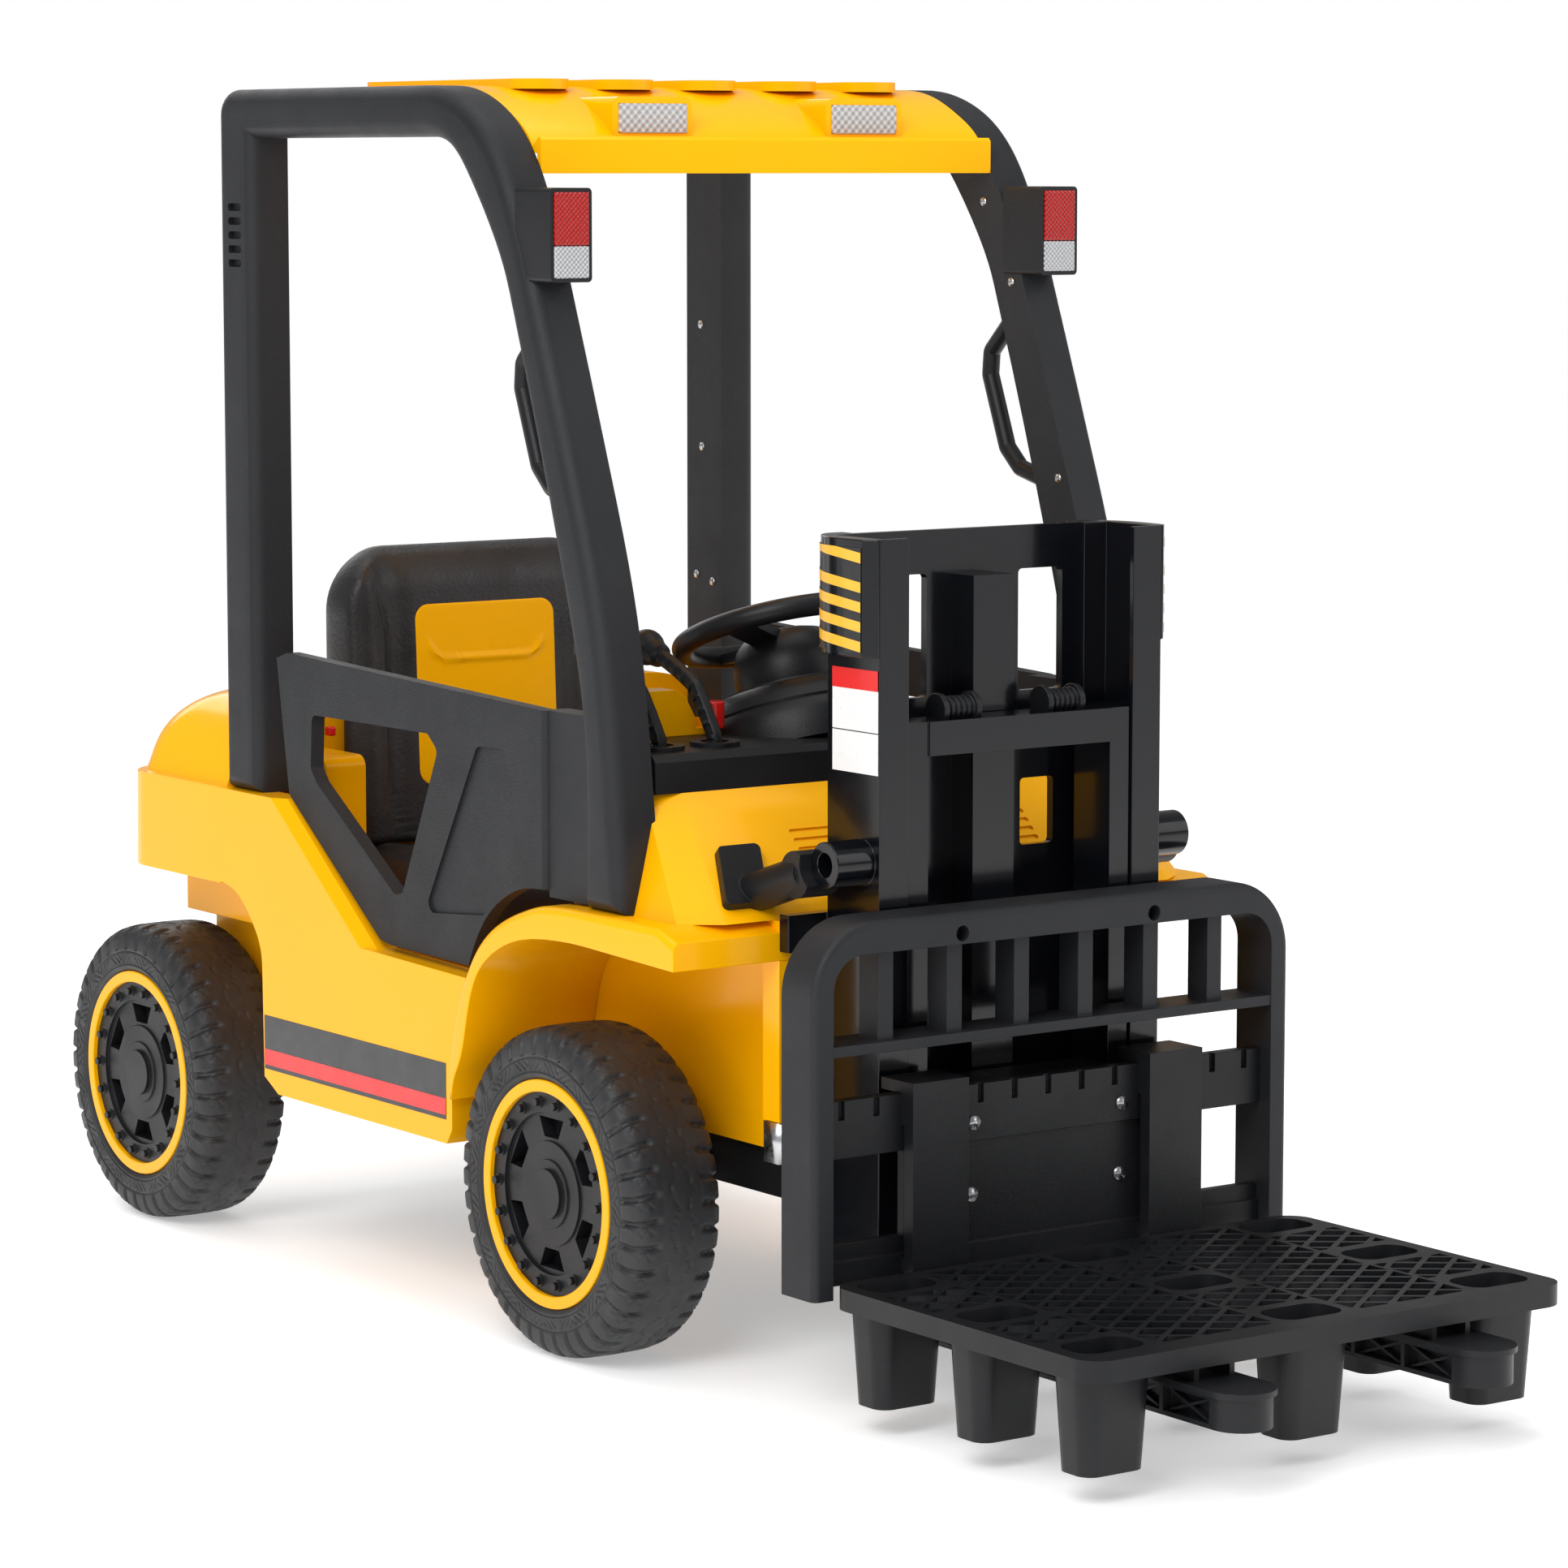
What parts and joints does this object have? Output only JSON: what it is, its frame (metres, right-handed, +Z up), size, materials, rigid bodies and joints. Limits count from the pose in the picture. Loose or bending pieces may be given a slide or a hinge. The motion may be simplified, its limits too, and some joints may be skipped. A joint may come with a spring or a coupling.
{
  "type": "ride-on toy forklift",
  "caption": "Child's ride-on forklift: open cab with canopy, lifting mast with forks, load guard and pallet, steered wheels and opening doors.",
  "frame": {"origin": "on the ground under the centre of the bounding box, forks and pallet included", "axes": "+Z up, forks towards -Y, driver's right towards -X"},
  "size_m": [0.6, 1.636, 1.104],
  "materials": {
    "yellow_plastic": "moulded gloss",
    "grey_plastic": "fine moulded texture",
    "black_gloss": "polished",
    "black_satin": "satin",
    "tyre": "matt moulded",
    "seat_vinyl": "leather grain",
    "lens_red": "moulded lens",
    "lens_clear": "moulded lens",
    "steel": "plated",
    "button_red": "gloss"
  },
  "bodies": {
    "vehicle": {"battery": "black_satin", "body_brackets": "steel", "body_screws": "steel", "body_shell": "yellow_plastic", "cab_tub": "yellow_plastic", "chassis_tray": "black_satin", "dash_console": "yellow_plastic", "dash_cover": "black_satin", "fender_left": "yellow_plastic", "fender_right": "yellow_plastic", "gearboxes": "black_satin", "grab_handles": "black_satin", "guard_left": "grey_plastic", "guard_liner_left": "grey_plastic", "guard_liner_right": "grey_plastic", "guard_right": "grey_plastic", "headlight_lenses": "lens_clear", "kingpin_brackets": "steel", "lamp_housings": "black_satin", "lamp_lenses": "lens_red", "mast_plate": "black_gloss", "mast_posts": "black_gloss", "mast_sleeves": "black_gloss", "nose_cowl": "yellow_plastic", "rear_axles": "steel", "rear_hood": "yellow_plastic", "roof_canopy": "yellow_plastic", "seat_cushion": "seat_vinyl", "seat_insert": "yellow_plastic", "seat_shell": "seat_vinyl", "tilt_cylinders": "black_satin"},
    "inner_mast": {"inner_mast": "black_gloss", "pulleys": "black_satin"},
    "carriage": {"carriage": "black_satin", "carriage_screws": "steel", "fork_right": "black_satin", "fork_left": "black_satin", "load_guard": "grey_plastic"},
    "pallet": {"pallet": "black_satin"},
    "steering_wheel": {"steering_wheel": "black_satin"},
    "lever_gear": {"lever_gear": "black_satin"},
    "lever_lift": {"lever_lift": "black_satin"},
    "door_right": {"door_right": "grey_plastic"},
    "door_left": {"door_left": "grey_plastic"},
    "pedal": {"pedal": "black_satin"},
    "start_button": {"start_button": "button_red"},
    "knuckle_right": {"knuckle_right": "steel"},
    "knuckle_left": {"knuckle_left": "steel"},
    "wheel_front_right": {"tyre_front_right": "tyre", "rim_front_right": "black_satin", "ring_front_right": "yellow_plastic"},
    "wheel_front_left": {"tyre_front_left": "tyre", "rim_front_left": "black_satin", "ring_front_left": "yellow_plastic"},
    "wheel_rear_right": {"tyre_rear_right": "tyre", "rim_rear_right": "black_satin", "ring_rear_right": "yellow_plastic"},
    "wheel_rear_left": {"tyre_rear_left": "tyre", "rim_rear_left": "black_satin", "ring_rear_left": "yellow_plastic"}
  },
  "joints": [
    {"name": "mast_lift", "type": "slide", "parent": "vehicle", "child": "inner_mast", "axis": [0, 0, 1], "range_m": [0, 0.145]},
    {"name": "carriage_lift", "type": "slide", "parent": "inner_mast", "child": "carriage", "axis": [0, 0, 1], "range_m": [0, 0.145]},
    {"name": "pallet_lift_off", "type": "slide", "parent": "carriage", "child": "pallet", "axis": [0, 0, 1], "range_m": [0, 0.12]},
    {"name": "steering_wheel_turn", "type": "hinge", "parent": "vehicle", "child": "steering_wheel", "pos_m": [0, 0, 0.614], "axis": [0, 0.342, 0.9397], "range_deg": [-30, 30]},
    {"name": "knuckle_right_steer", "type": "hinge", "parent": "vehicle", "child": "knuckle_right", "pos_m": [-0.18, -0.067, 0.145], "axis": [0, 0, 1], "range_deg": [-10, 10]},
    {"name": "knuckle_left_steer", "type": "hinge", "parent": "vehicle", "child": "knuckle_left", "pos_m": [0.18, -0.067, 0.145], "axis": [0, 0, 1], "range_deg": [-10, 10]},
    {"name": "wheel_front_right_spin", "type": "hinge", "parent": "knuckle_right", "child": "wheel_front_right", "pos_m": [-0.25, -0.067, 0.145], "axis": [1, 0, 0], "continuous": true},
    {"name": "wheel_rear_right_spin", "type": "hinge", "parent": "vehicle", "child": "wheel_rear_right", "pos_m": [-0.25, 0.673, 0.145], "axis": [1, 0, 0], "continuous": true},
    {"name": "wheel_front_left_spin", "type": "hinge", "parent": "knuckle_left", "child": "wheel_front_left", "pos_m": [0.25, -0.067, 0.145], "axis": [1, 0, 0], "continuous": true},
    {"name": "wheel_rear_left_spin", "type": "hinge", "parent": "vehicle", "child": "wheel_rear_left", "pos_m": [0.25, 0.673, 0.145], "axis": [1, 0, 0], "continuous": true},
    {"name": "door_right_swing", "type": "hinge", "parent": "vehicle", "child": "door_right", "pos_m": [-0.273, -0.036, 0.48], "axis": [0, 0, 1], "range_deg": [0, 70]},
    {"name": "door_left_swing", "type": "hinge", "parent": "vehicle", "child": "door_left", "pos_m": [0.273, -0.036, 0.48], "axis": [0, 0, 1], "range_deg": [-70, 0]},
    {"name": "lever_gear_tip", "type": "hinge", "parent": "vehicle", "child": "lever_gear", "pos_m": [-0.208, -0.112, 0.512], "axis": [1, 0, 0], "range_deg": [-9, 9]},
    {"name": "lever_lift_tip", "type": "hinge", "parent": "vehicle", "child": "lever_lift", "pos_m": [-0.15, -0.112, 0.512], "axis": [1, 0, 0], "range_deg": [-9, 9]},
    {"name": "pedal_press", "type": "hinge", "parent": "vehicle", "child": "pedal", "pos_m": [-0.07, -0.164, 0.214], "axis": [1, 0, 0], "range_deg": [0, 14], "stiffness_Nm_per_rad": 1.5, "springref_deg": -5.73},
    {"name": "start_button_press", "type": "slide", "parent": "vehicle", "child": "start_button", "axis": [0, 0, -1], "range_m": [0, 0.004], "stiffness_N_per_m": 200, "springref_m": -0.001}
  ],
  "couplings": [
    {"joint": "carriage_lift", "follows": "mast_lift", "ratio": 1},
    {"joint": "knuckle_right_steer", "follows": "steering_wheel_turn", "ratio": 0.33333},
    {"joint": "knuckle_left_steer", "follows": "steering_wheel_turn", "ratio": 0.33333}
  ]
}
